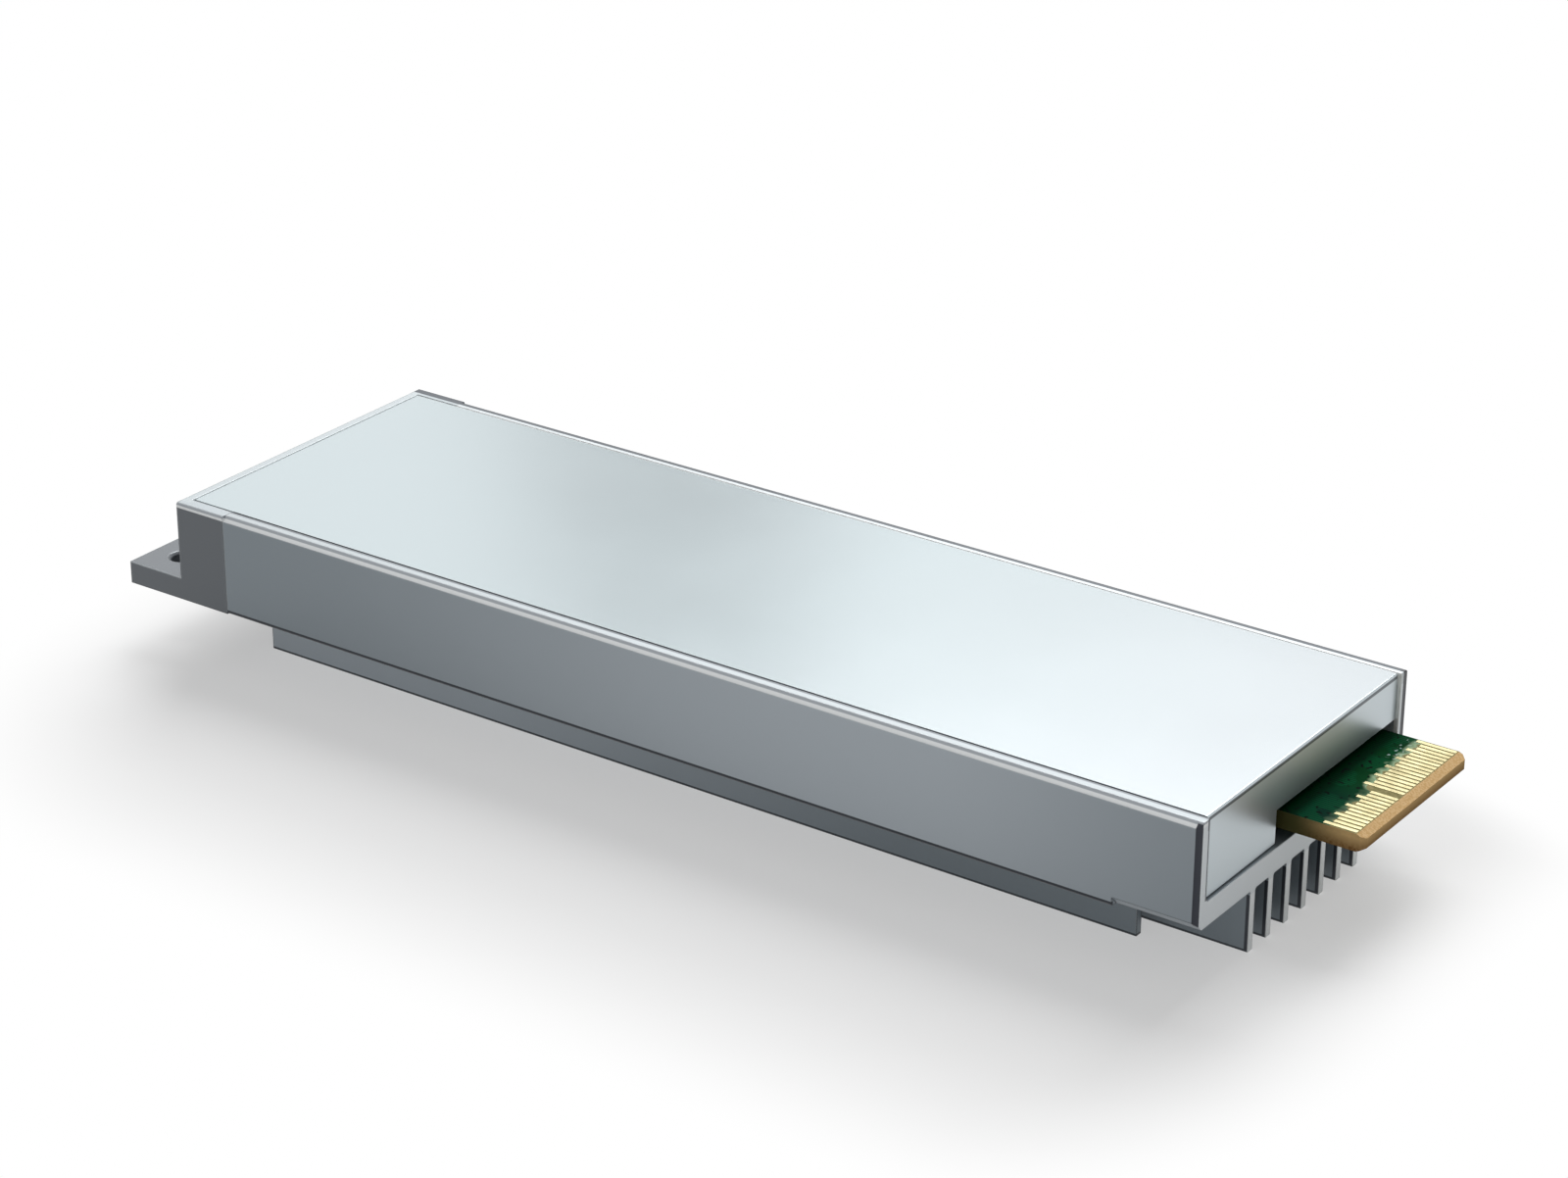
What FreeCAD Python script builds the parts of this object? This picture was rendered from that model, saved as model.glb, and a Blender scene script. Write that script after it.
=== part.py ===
import FreeCAD, Part
import math
import os

from FreeCAD import Vector

os.makedirs("parts", exist_ok=True)

# Solid-state drive module of the short ruler form, in millimetres.
# X runs from the mounting tab (-) to the card edge (+), Y across, Z up.
# The fins point down and the module rests on their tips at Z = 0.

# Case
body_length = 105.45
body_width = 33.75
bracket_length = 5.5
side_wall = 1.3
floor_thickness = 2.15
floor_corner_radius = 0.5
wall_top_chamfer = 0.45
bottom_edge_break = 0.2
end_edge_chamfer = 0.3
lead_in_length = 7.6
lead_in_chamfer = 0.8

# Fins
fin_height = 5.5
fin_thickness = 0.7
fin_pitch = 2.9
fin_root_radius = 0.25
near_fin_margin = 5.95
far_fin_margin = 4.5
fin_start_gap = 0.1
short_fin_setback = 8.45

# Cover
cover_thickness = 1.8
cover_recess = 0.05
cover_gap_near = 0.25
cover_gap_far = 0.05
cover_gap_end = 0.05
flange_thickness = 1.2
flange_setback = 0.3
flange_floor_gap = 0.2
flange_inner_radius = 0.6
flange_outer_radius = 0.25
card_slot_headroom = 0.45
card_slot_side_gap = 0.9

# Bracket with its mounting tab
end_wall = 0.8
bracket_edge_break = 0.15
tab_reach = 6.25
tab_thickness = 2.1
tab_hole_diameter = 2.2
tab_hole_inset = 3.6
tab_hole_rim = 0.25
lug_length = 5.2
lug_width = 4.2
lug_corner_gap = 0.1
lug_end_radius = 1.5

# Circuit board and card edge
board_thickness = 1.57
board_side_gap = 0.25
board_end_gap = 0.2
board_flange_gap = 0.3
card_reach = 7.05
card_far_gap = 1.475
card_corner = 0.4
card_bevel_length = 0.75
card_bevel_height = 0.35
finger_pitch = 0.6
finger_width = 0.4
finger_thickness = 0.05
first_group_length = 2.4
second_group_length = 3.0
ground_finger_extra = 0.6
fingers_in_first_group = 12
fingers_in_second_group = 16
finger_group_gap = 0.6
finger_side_margin = 0.15
finger_tip_gap = 0.05

# Packages on the board
package_gap = 1.4
nand_per_row = 4
nand_gap = 1.58
nand_width = 18.0
nand_height = 0.9
nand_start = 10.8
controller_side = 17.0
controller_from_end = 8.0
controller_height = 0.9
lower_pad_thickness = 0.25
upper_pad_thickness = 1.88
dram_length = 9.0
dram_width = 7.5
dram_height = 0.9
package_edge_chamfer = 0.15
package_substrate = 0.3
package_substrate_rim = 0.25
capacitors_in_row = 8
capacitor_gap = 1.76
capacitor_width = 4.3
capacitor_headroom = 0.3
capacitor_terminal = 1.2
inductor_side = 4.0
inductor_headroom = 0.4
inductor_corner = 0.7
power_chip_side = 5.0
power_chip_height = 0.8
ceramic_length = 1.0
ceramic_width = 0.5
ceramic_height = 0.5
ceramic_pitch = 1.5
ceramics_per_row = 7
crystal_length = 3.2
crystal_width = 2.5
crystal_height = 0.8
boot_flash_length = 5.0
boot_flash_width = 4.0
boot_flash_height = 0.8
edge_package_gap = 0.6

# Screws
screw_diameter = 1.6
screw_hole_gap = 0.3
thread_gap = 0.1
screw_head_diameter = 3.0
screw_head_gap = 0.05
screw_head_sink = 0.1
drive_socket_diameter = 1.0
drive_socket_depth = 0.5
cover_boss_diameter = 3.4
tray_boss_diameter = 4.4
boss_side_gap = 0.4
boss_front_gap = 0.3
boss_flange_gap = 0.35
cover_thread_depth = 2.6
thread_end_gap = 0.3
bracket_thread_depth = 1.7
board_rest_length = 6.0
board_rest_width = 1.0

# Status lights
light_spacing = 3.6
light_window_width = 2.0
light_window_height = 1.2
light_window_sill = 0.3
light_pipe_depth = 1.2
light_pipe_gap = 0.05
light_pipe_side = 0.8
led_length = 0.8
led_width = 1.6
led_height = 0.6
led_gap = 0.2

# Places worked out from the sizes above
overall_length = tab_reach + body_length + card_reach
tab_end_x = -overall_length / 2
front_x = tab_end_x + tab_reach
seam_x = front_x + bracket_length
rear_x = front_x + body_length
card_tip_x = rear_x + card_reach
near_y = -body_width / 2
far_y = body_width / 2
near_inner_y = near_y + side_wall
far_inner_y = far_y - side_wall

under_z = fin_height
floor_z = under_z + floor_thickness
board_under_z = floor_z + controller_height + lower_pad_thickness
board_top_z = board_under_z + board_thickness
cover_under_z = board_top_z + nand_height + upper_pad_thickness
cover_top_z = cover_under_z + cover_thickness
top_z = cover_top_z + cover_recess

cover_front_x = front_x + end_wall + cover_gap_end
cover_near_y = near_inner_y + cover_gap_near
cover_far_y = far_inner_y - cover_gap_far
flange_outer_x = rear_x - flange_setback
flange_inner_x = flange_outer_x - flange_thickness

board_front_x = front_x + end_wall + board_end_gap
board_rear_x = flange_inner_x - board_flange_gap
board_near_y = near_inner_y + board_side_gap
board_far_y = far_inner_y - board_side_gap

finger_count = fingers_in_first_group + fingers_in_second_group
finger_field = finger_count * finger_pitch + finger_group_gap - (finger_pitch - finger_width)
card_far_y = far_inner_y - card_far_gap
card_near_y = card_far_y - finger_field - 2 * finger_side_margin

screw_hole_diameter = screw_diameter + screw_hole_gap
thread_diameter = screw_diameter + thread_gap
boss_inset = boss_side_gap + cover_boss_diameter / 2
lug_inset = floor_corner_radius + lug_corner_gap
cover_screw_ys = (near_inner_y + boss_inset, far_inner_y - boss_inset)
bracket_screw_ys = (near_inner_y + lug_inset + lug_width / 2,
                    far_inner_y - lug_inset - lug_width / 2)
front_screw_x = front_x + end_wall + boss_front_gap + cover_boss_diameter / 2
rear_screw_x = flange_inner_x - boss_flange_gap - tray_boss_diameter / 2
bracket_screw_x = seam_x + lug_length / 2


def block(x0, x1, y0, y1, z0, z1):
    """Box between two corners."""
    return Part.makeBox(x1 - x0, y1 - y0, z1 - z0, Vector(x0, y0, z0))


def rod(diameter, x, y, z0, z1):
    """Upright cylinder from z0 to z1."""
    return Part.makeCylinder(diameter / 2, z1 - z0, Vector(x, y, z0))


def upright_cone(lower_diameter, upper_diameter, x, y, z0, z1):
    """Upright cone from z0 to z1."""
    return Part.makeCone(lower_diameter / 2, upper_diameter / 2, z1 - z0, Vector(x, y, z0))


def prism(points, direction):
    """Solid swept from a closed outline of straight sides."""
    wire = Part.makePolygon(points + [points[0]])
    return Part.Face(wire).extrude(direction)


class Outline:
    """Closed outline of straight lines and quarter rounds, drawn point by point."""

    def __init__(self, start):
        self.start = start
        self.here = start
        self.edges = []

    def line(self, point):
        self.edges.append(Part.LineSegment(self.here, point).toShape())
        self.here = point

    def quarter(self, point, centre):
        """Quarter round from the last point to the next about a centre."""
        radius = (point - centre).Length
        middle = (self.here + point) * 0.5 - centre
        middle.normalize()
        self.edges.append(Part.Arc(self.here, centre + middle * radius, point).toShape())
        self.here = point

    def swept(self, direction):
        self.line(self.start)
        return Part.Face(Part.Wire(self.edges)).extrude(direction)


def fin_centres():
    """Middle of each fin across the body, from the near side to the far side."""
    room = body_width - near_fin_margin - far_fin_margin
    count = int(room / fin_pitch + 1e-6) + 1
    return [near_y + near_fin_margin + index * fin_pitch for index in range(count)]


def finned_section():
    """Cross-section of the tray with its walls, floor and fins, swept from the seam to the rear."""
    x = seam_x

    def at(y, z):
        return Vector(x, y, z)

    outline = Outline(at(near_inner_y, top_z))
    outline.line(at(near_y + wall_top_chamfer, top_z))
    outline.line(at(near_y, top_z - wall_top_chamfer))
    outline.line(at(near_y, under_z + bottom_edge_break))
    outline.line(at(near_y + bottom_edge_break, under_z))
    for centre in fin_centres():
        left = centre - fin_thickness / 2
        right = centre + fin_thickness / 2
        root_z = under_z - fin_root_radius
        outline.line(at(left - fin_root_radius, under_z))
        outline.quarter(at(left, root_z), at(left - fin_root_radius, root_z))
        outline.line(at(left, under_z - fin_height))
        outline.line(at(right, under_z - fin_height))
        outline.line(at(right, root_z))
        outline.quarter(at(right + fin_root_radius, under_z), at(right + fin_root_radius, root_z))
    outline.line(at(far_y - bottom_edge_break, under_z))
    outline.line(at(far_y, under_z + bottom_edge_break))
    outline.line(at(far_y, top_z - wall_top_chamfer))
    outline.line(at(far_y - wall_top_chamfer, top_z))
    outline.line(at(far_inner_y, top_z))
    corner_z = floor_z + floor_corner_radius
    outline.line(at(far_inner_y, corner_z))
    outline.quarter(at(far_inner_y - floor_corner_radius, floor_z),
                    at(far_inner_y - floor_corner_radius, corner_z))
    outline.line(at(near_inner_y + floor_corner_radius, floor_z))
    outline.quarter(at(near_inner_y, corner_z), at(near_inner_y + floor_corner_radius, corner_z))
    return outline.swept(Vector(rear_x - seam_x, 0, 0))


def screw_way(x, y, z0, z1):
    """Countersunk clearance hole through z0 to z1, with its head seat at z0."""
    seat_top = z0 + screw_head_sink + head_height()
    head_gap = 2 * screw_head_gap
    hole = rod(screw_hole_diameter, x, y, z0, z1)
    mouth = rod(screw_head_diameter + head_gap, x, y, z0, z0 + screw_head_sink)
    seat = upright_cone(screw_head_diameter + head_gap, screw_diameter + head_gap,
                        x, y, z0 + screw_head_sink, seat_top)
    return hole.fuse([mouth, seat])


def head_height():
    """Height of a countersunk head whose flanks stand at 45 degrees."""
    return (screw_head_diameter - screw_diameter) / 2


def countersunk_screw(x, y, z0, length):
    """Countersunk screw with its head at z0, pointing up, and its six-sided drive socket."""
    head_z = z0 + screw_head_sink
    head = upright_cone(screw_head_diameter, screw_diameter, x, y, head_z, head_z + head_height())
    shank = rod(screw_diameter, x, y, head_z + head_height(), z0 + length)
    corners = []
    for side in range(6):
        angle = math.radians(60 * side)
        corners.append(Vector(x + drive_socket_diameter / 2 * math.cos(angle),
                              y + drive_socket_diameter / 2 * math.sin(angle), head_z))
    socket = prism(corners, Vector(0, 0, drive_socket_depth))
    return head.fuse(shank).cut(socket).removeSplitter()


def turned_over(shape, z):
    """The same shape turned upside down about the level z."""
    return shape.mirror(Vector(0, 0, z), Vector(0, 0, 1))


def make_tray():
    """Lower case: floor, side walls and fins in one, with bosses, rests and screw ways."""
    tray = finned_section()
    cuts = []
    centres = fin_centres()
    near_limit = (centres[0] + centres[1]) / 2
    far_limit = (centres[-1] + centres[-2]) / 2
    short_end_x = rear_x - short_fin_setback
    cuts.append(block(short_end_x, rear_x, near_y, near_limit, 0, under_z))
    cuts.append(block(short_end_x, rear_x, far_limit, far_y, 0, under_z))
    cuts.append(block(seam_x, seam_x + fin_start_gap, near_y, far_y, 0, under_z))
    for edge_y, inward in ((near_y, 1), (far_y, -1)):
        lead_in = [Vector(rear_x - lead_in_length, edge_y, under_z),
                   Vector(rear_x - lead_in_length, edge_y + inward * lead_in_chamfer, under_z),
                   Vector(rear_x - lead_in_length, edge_y, under_z + lead_in_chamfer)]
        cuts.append(prism(lead_in, Vector(lead_in_length, 0, 0)))
        corner = [Vector(rear_x, edge_y, under_z),
                  Vector(rear_x, edge_y + inward * end_edge_chamfer, under_z),
                  Vector(rear_x - end_edge_chamfer, edge_y, under_z)]
        cuts.append(prism(corner, Vector(0, 0, top_z - under_z)))
    tray = tray.cut(cuts)
    additions = []
    for y in cover_screw_ys:
        additions.append(rod(tray_boss_diameter, rear_screw_x, y, floor_z, board_under_z))
    for x in board_rest_places():
        x0 = x - board_rest_length / 2
        x1 = x + board_rest_length / 2
        near_rest_y = near_inner_y + board_side_gap + board_rest_width
        far_rest_y = far_inner_y - board_side_gap - board_rest_width
        additions.append(block(x0, x1, near_inner_y, near_rest_y, floor_z, board_under_z))
        additions.append(block(x0, x1, far_rest_y, far_inner_y, floor_z, board_under_z))
    tray = tray.fuse(additions)
    holes = [screw_way(rear_screw_x, y, under_z, board_under_z) for y in cover_screw_ys]
    for y in bracket_screw_ys:
        holes.append(rod(thread_diameter, bracket_screw_x, y,
                         floor_z - bracket_thread_depth, floor_z))
    return tray.cut(holes).removeSplitter()


def board_rest_places():
    """Places along the tray where a rib on each wall carries the board's edge."""
    first = seam_x + lug_length + board_rest_length
    last = rear_screw_x - tray_boss_diameter - board_rest_length
    return [first + (last - first) * step / 2 for step in range(3)]


def make_cover():
    """Cover plate with its rear end turned down, and the bosses that take the screws."""
    def at(x, z):
        return Vector(x, cover_near_y, z)

    plate = Outline(at(cover_front_x, cover_under_z))
    plate.line(at(cover_front_x, cover_top_z))
    plate.line(at(flange_outer_x - flange_outer_radius, cover_top_z))
    plate.quarter(at(flange_outer_x, cover_top_z - flange_outer_radius),
                  at(flange_outer_x - flange_outer_radius, cover_top_z - flange_outer_radius))
    plate.line(at(flange_outer_x, floor_z + flange_floor_gap))
    plate.line(at(flange_inner_x, floor_z + flange_floor_gap))
    plate.line(at(flange_inner_x, cover_under_z - flange_inner_radius))
    plate.quarter(at(flange_inner_x - flange_inner_radius, cover_under_z),
                  at(flange_inner_x - flange_inner_radius, cover_under_z - flange_inner_radius))
    cover = plate.swept(Vector(0, cover_far_y - cover_near_y, 0))
    slot = block(flange_inner_x, flange_outer_x, card_near_y - card_slot_side_gap, cover_far_y,
                 floor_z, board_top_z + card_slot_headroom)
    cover = cover.cut(slot)
    bosses = []
    threads = []
    for x in (front_screw_x, rear_screw_x):
        for y in cover_screw_ys:
            bosses.append(rod(cover_boss_diameter, x, y, board_top_z, cover_under_z))
            threads.append(rod(thread_diameter, x, y, board_top_z,
                               board_top_z + cover_thread_depth))
    return cover.fuse(bosses).cut(threads).removeSplitter()


def make_bracket():
    """End block with two side cheeks, a mounting tab and two lugs that reach into the tray."""
    cheek = block(front_x, seam_x, near_y, far_y, under_z, top_z)
    long_edges = [edge for edge in cheek.Edges
                  if edge.BoundBox.XLength > bracket_length - 1e-6
                  and edge.BoundBox.ZMin > top_z - 1e-6]
    cheek = cheek.makeChamfer(bracket_edge_break, long_edges)
    pocket = block(front_x + end_wall, seam_x, near_inner_y, far_inner_y,
                   under_z + tab_thickness, top_z)
    bracket = cheek.cut(pocket)
    tab = block(tab_end_x, front_x, near_y, far_y, under_z, under_z + tab_thickness)
    additions = [tab]
    lug_start_x = front_x + end_wall
    lug_end_x = seam_x + lug_length
    for wall_y, inward in ((near_inner_y, 1), (far_inner_y, -1)):
        outer_y = wall_y + inward * lug_inset
        inner_y = outer_y + inward * lug_width
        low_y = min(outer_y, inner_y)
        high_y = max(outer_y, inner_y)
        lug = block(seam_x, lug_end_x, low_y, high_y, floor_z, board_under_z)
        ends = [edge for edge in lug.Edges
                if abs(edge.BoundBox.XMin - lug_end_x) < 1e-6
                and edge.BoundBox.ZLength > board_under_z - floor_z - 1e-6]
        additions.append(lug.makeFillet(lug_end_radius, ends))
        low_y = min(wall_y, inner_y)
        high_y = max(wall_y, inner_y)
        additions.append(block(lug_start_x, seam_x, low_y, high_y,
                               under_z + tab_thickness, board_under_z))
    bracket = bracket.fuse(additions)
    cuts = []
    for y in cover_screw_ys:
        cuts.append(screw_way(front_screw_x, y, under_z, board_under_z))
    for y in bracket_screw_ys:
        way = screw_way(bracket_screw_x, y, 0, board_under_z - floor_z)
        cuts.append(turned_over(way, 0).translated(Vector(0, 0, board_under_z)))
    hole_x = front_x - tab_reach / 2
    rim = tab_hole_diameter + 2 * tab_hole_rim
    upper_z = under_z + tab_thickness
    for y in (near_y + tab_hole_inset, far_y - tab_hole_inset):
        cuts.append(rod(tab_hole_diameter, hole_x, y, under_z, upper_z))
        cuts.append(upright_cone(tab_hole_diameter, rim, hole_x, y, upper_z - tab_hole_rim, upper_z))
        cuts.append(upright_cone(rim, tab_hole_diameter, hole_x, y, under_z, under_z + tab_hole_rim))
    for y in light_ys():
        cuts.append(block(front_x, front_x + end_wall, y - light_window_width / 2,
                          y + light_window_width / 2, light_sill_z(),
                          light_sill_z() + light_window_height))
    return bracket.cut(cuts).removeSplitter()


def light_ys():
    """Middle of each status light across the body."""
    return (-light_spacing / 2, light_spacing / 2)


def light_sill_z():
    """Lower edge of the status light windows."""
    return board_top_z + light_window_sill


def make_light_pipe():
    """Clear bar on the board behind the end wall, with a nose in each window."""
    bar_front_x = board_front_x
    half = light_spacing / 2 + light_window_width / 2 + light_pipe_side
    bar_top_z = light_sill_z() + light_window_height
    pipe = block(bar_front_x, bar_front_x + light_pipe_depth, -half, half, board_top_z, bar_top_z)
    noses = []
    for y in light_ys():
        nose_half = light_window_width / 2 - light_pipe_gap
        noses.append(block(front_x + light_pipe_gap, bar_front_x, y - nose_half, y + nose_half,
                           light_sill_z() + light_pipe_gap,
                           light_sill_z() + light_window_height - light_pipe_gap))
    return pipe.fuse(noses).removeSplitter()


def make_led(y):
    """Small light on the board behind the light pipe."""
    x0 = board_front_x + light_pipe_depth + led_gap
    case = block(x0, x0 + led_length, y - led_width / 2, y + led_width / 2,
                 board_top_z, board_top_z + led_height / 2)
    dome = block(x0, x0 + led_length, y - led_width / 4, y + led_width / 4,
                 board_top_z + led_height / 2, board_top_z + led_height)
    return case.fuse(dome)


def make_board():
    """Board with its narrower tongue, bevelled at the tip, and the screw holes."""
    def at(x, y):
        return Vector(x, y, board_under_z)

    outline = [at(board_front_x, board_near_y), at(board_rear_x, board_near_y),
               at(board_rear_x, card_near_y), at(card_tip_x - card_corner, card_near_y),
               at(card_tip_x, card_near_y + card_corner), at(card_tip_x, card_far_y - card_corner),
               at(card_tip_x - card_corner, card_far_y), at(board_rear_x, card_far_y),
               at(board_rear_x, board_far_y), at(board_front_x, board_far_y)]
    board = prism(outline, Vector(0, 0, board_thickness))
    width = Vector(0, card_far_y - card_near_y, 0)
    cuts = []
    for face_z, inward in ((board_top_z, -1), (board_under_z, 1)):
        bevel = [Vector(card_tip_x - card_bevel_length, card_near_y, face_z),
                 Vector(card_tip_x, card_near_y, face_z),
                 Vector(card_tip_x, card_near_y, face_z + inward * card_bevel_height)]
        cuts.append(prism(bevel, width))
    for x in (front_screw_x, rear_screw_x):
        for y in cover_screw_ys:
            cuts.append(rod(screw_hole_diameter, x, y, board_under_z, board_top_z))
    return board.cut(cuts).removeSplitter()


def finger_places():
    """Middle of each contact across the tongue, with a wider gap between the two groups."""
    first = card_near_y + finger_side_margin + finger_width / 2
    places = [first + index * finger_pitch for index in range(fingers_in_first_group)]
    second = first + fingers_in_first_group * finger_pitch + finger_group_gap
    places += [second + index * finger_pitch for index in range(fingers_in_second_group)]
    return places


def make_fingers(z0, z1):
    """Row of contacts on one face of the tongue, every third one longer for ground."""
    tip_x = card_tip_x - card_bevel_length - finger_tip_gap
    fingers = []
    for number, y in enumerate(finger_places()):
        in_first_group = number < fingers_in_first_group
        length = first_group_length if in_first_group else second_group_length
        if number % 3 == 0:
            length += ground_finger_extra
        fingers.append(block(tip_x - length, tip_x, y - finger_width / 2, y + finger_width / 2,
                             z0, z1))
    return Part.makeCompound(fingers)


def moulded_package(x, y, length, width, height):
    """Package on the board's top face: a substrate with a moulded body set in from its rim."""
    z0 = board_top_z
    substrate_z = z0 + package_substrate
    x0 = x - length / 2
    y0 = y - width / 2
    substrate = block(x0, x0 + length, y0, y0 + width, z0, substrate_z)
    rim = package_substrate_rim
    body = block(x0 + rim, x0 + length - rim, y0 + rim, y0 + width - rim, substrate_z, z0 + height)
    upper = [edge for edge in body.Edges if edge.BoundBox.ZMin > z0 + height - 1e-6]
    body = body.makeChamfer(package_edge_chamfer, upper)
    return substrate.fuse(body).removeSplitter()


def below(shape):
    """A package drawn on the board's top face, moved to its underside."""
    middle = (board_top_z + board_under_z) / 2
    return turned_over(shape, middle)


def nand_pitch():
    """Spacing of the flash packages, which share the board's length up to the controller."""
    start = seam_x + nand_start
    return (controller_x() - controller_side / 2 - start) / nand_per_row


def nand_places():
    """Middle of each flash package along the board."""
    first = seam_x + nand_start + nand_length() / 2
    return [first + index * nand_pitch() for index in range(nand_per_row)]


def nand_length():
    """Length of a flash package: its share of the board less the gap to the next."""
    return nand_pitch() - nand_gap


def nand_y():
    """Middle of the flash packages across the board, which leaves a strip on the far side."""
    return board_near_y + board_rest_width + package_gap + nand_width / 2


def controller_x():
    """Middle of the controller along the board."""
    return board_rear_x - controller_from_end - controller_side / 2


def strip_y():
    """Middle of the free strip on the board beside the flash packages."""
    strip_near = nand_y() + nand_width / 2
    strip_far = board_far_y - board_rest_width
    return (strip_near + strip_far) / 2


def make_capacitor(x, y):
    """Moulded energy-store capacitor with a metal terminal folded round each end."""
    height = cover_under_z - board_top_z - capacitor_headroom
    slope = height / 12
    z0 = board_top_z
    x0 = x - capacitor_length() / 2
    x1 = x + capacitor_length() / 2
    y0 = y - capacitor_width / 2
    section = [Vector(x0, y0, z0), Vector(x0, y0 + slope, z0 + height),
               Vector(x0, y0 + capacitor_width - slope, z0 + height),
               Vector(x0, y0 + capacitor_width, z0)]
    body = prism(section, Vector(x1 - x0, 0, 0))
    recess = height / 2
    notch_depth = capacitor_terminal / 4
    notches = []
    for end_x in (x0, x1 - notch_depth):
        notches.append(block(end_x, end_x + notch_depth, y0, y0 + capacitor_width / 4,
                             z0, z0 + recess))
        notches.append(block(end_x, end_x + notch_depth, y0 + capacitor_width * 3 / 4,
                             y0 + capacitor_width, z0, z0 + recess))
    return body.cut(notches)


def capacitor_start():
    """Where the row of energy-store capacitors begins along the strip."""
    return seam_x + lug_length + package_gap


def capacitor_pitch():
    """Spacing of the energy-store capacitors, which share the strip up to the start-up memory."""
    room = boot_flash_x() - boot_flash_length / 2 - capacitor_start()
    return room / capacitors_in_row


def capacitor_length():
    """Length of a capacitor: its share of the strip less the gap to the next."""
    return capacitor_pitch() - capacitor_gap


def capacitor_places():
    """Middle of each energy-store capacitor along the strip."""
    first = capacitor_start() + capacitor_length() / 2
    return [first + index * capacitor_pitch() for index in range(capacitors_in_row)]


def boot_flash_x():
    """Middle of the small start-up memory along the board."""
    return controller_x()


def far_edge_y(width):
    """Middle across the board of a package that stands at its far edge."""
    return board_far_y - board_rest_width - edge_package_gap - width / 2


def make_inductor(x, y):
    """Square power inductor with its corners cut off."""
    height = cover_under_z - board_top_z - inductor_headroom
    half = inductor_side / 2
    body = block(x - half, x + half, y - half, y + half, board_top_z, board_top_z + height)
    corners = [edge for edge in body.Edges if edge.BoundBox.ZLength > height - 1e-6]
    return body.makeChamfer(inductor_corner, corners)


def make_ceramics():
    """Rows of small ceramic capacitors on the board's top face over the controller."""
    chips = []
    row_x = controller_x() + controller_side / 2
    for row in range(2):
        for index in range(ceramics_per_row):
            y = nand_y() + (index - (ceramics_per_row - 1) / 2) * ceramic_pitch
            x = row_x + row * 2 * ceramic_pitch
            chips.append(block(x - ceramic_length / 2, x + ceramic_length / 2,
                               y - ceramic_width / 2, y + ceramic_width / 2,
                               board_top_z, board_top_z + ceramic_height))
    return Part.makeCompound(chips)


def export(name, shape):
    shape.exportStep("parts/" + name + ".step")
    print(name, len(shape.Solids), round(shape.Volume, 1), shape.isValid())


export("heatsink_tray", make_tray())
export("top_cover", make_cover())
export("end_bracket", make_bracket())
export("circuit_board", make_board())
export("contact_fingers_top", make_fingers(board_top_z, board_top_z + finger_thickness))
export("contact_fingers_bottom", make_fingers(board_under_z - finger_thickness, board_under_z))

# Flash memory in two rows, with one soft pad over each row
for number, x in enumerate(nand_places(), start=1):
    package = moulded_package(x, nand_y(), nand_length(), nand_width, nand_height)
    export("nand_top_%d" % number, package)
    export("nand_bottom_%d" % number, below(package))
pad_x0 = nand_places()[0] - nand_length() / 2 + package_substrate_rim
pad_x1 = nand_places()[-1] + nand_length() / 2 - package_substrate_rim
pad_y0 = nand_y() - nand_width / 2 + package_substrate_rim
pad_y1 = nand_y() + nand_width / 2 - package_substrate_rim
export("thermal_pad_upper",
       block(pad_x0, pad_x1, pad_y0, pad_y1, board_top_z + nand_height, cover_under_z))
export("thermal_pad_lower",
       block(pad_x0, pad_x1, pad_y0, pad_y1, floor_z, board_under_z - nand_height))

# Controller under the board, on its own pad
controller = moulded_package(controller_x(), nand_y(), controller_side, controller_side,
                             controller_height)
export("controller_chip", below(controller))
pad_half = controller_side / 2 - package_substrate_rim
export("controller_pad",
       block(controller_x() - pad_half, controller_x() + pad_half,
             nand_y() - pad_half, nand_y() + pad_half,
             floor_z, board_under_z - controller_height))

# Buffer memory, supply parts and timing parts on the board's top face
dram_x = controller_x() - dram_length / 2 - edge_package_gap
for number, side in ((1, -1), (2, 1)):
    y = nand_y() + side * (dram_width / 2 + edge_package_gap)
    package = moulded_package(dram_x + dram_length / 2, y, dram_length, dram_width, dram_height)
    export("dram_chip_%d" % number, package)
for number, x in enumerate(capacitor_places(), start=1):
    export("holdup_capacitor_%d" % number, make_capacitor(x, strip_y()))
inductor_x = seam_x + nand_start - package_gap - inductor_side / 2
power_x = inductor_x - inductor_side / 2 - package_gap - power_chip_side / 2
export("power_chip", moulded_package(power_x, 0, power_chip_side, power_chip_side,
                                     power_chip_height))
for number in range(1, 4):
    y = nand_y() + nand_width / 2 - number * (inductor_side + package_gap)
    export("power_inductor_%d" % number, make_inductor(inductor_x, y))
export("boot_flash", moulded_package(boot_flash_x(), far_edge_y(boot_flash_width),
                                     boot_flash_length, boot_flash_width, boot_flash_height))
crystal_x = boot_flash_x() + boot_flash_length / 2 + package_gap + crystal_length / 2
export("clock_crystal", moulded_package(crystal_x, far_edge_y(crystal_width), crystal_length,
                                        crystal_width, crystal_height))
export("ceramic_capacitors", make_ceramics())

# Screws, all countersunk
cover_screw_length = board_top_z + cover_thread_depth - thread_end_gap - under_z
export("cover_screws", Part.makeCompound(
    [countersunk_screw(x, y, under_z, cover_screw_length)
     for x in (front_screw_x, rear_screw_x) for y in cover_screw_ys]))
bracket_screw_length = board_under_z - floor_z + bracket_thread_depth - thread_end_gap
export("bracket_screws", Part.makeCompound(
    [turned_over(countersunk_screw(bracket_screw_x, y, 0, bracket_screw_length), 0)
     .translated(Vector(0, 0, board_under_z)) for y in bracket_screw_ys]))

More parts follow.
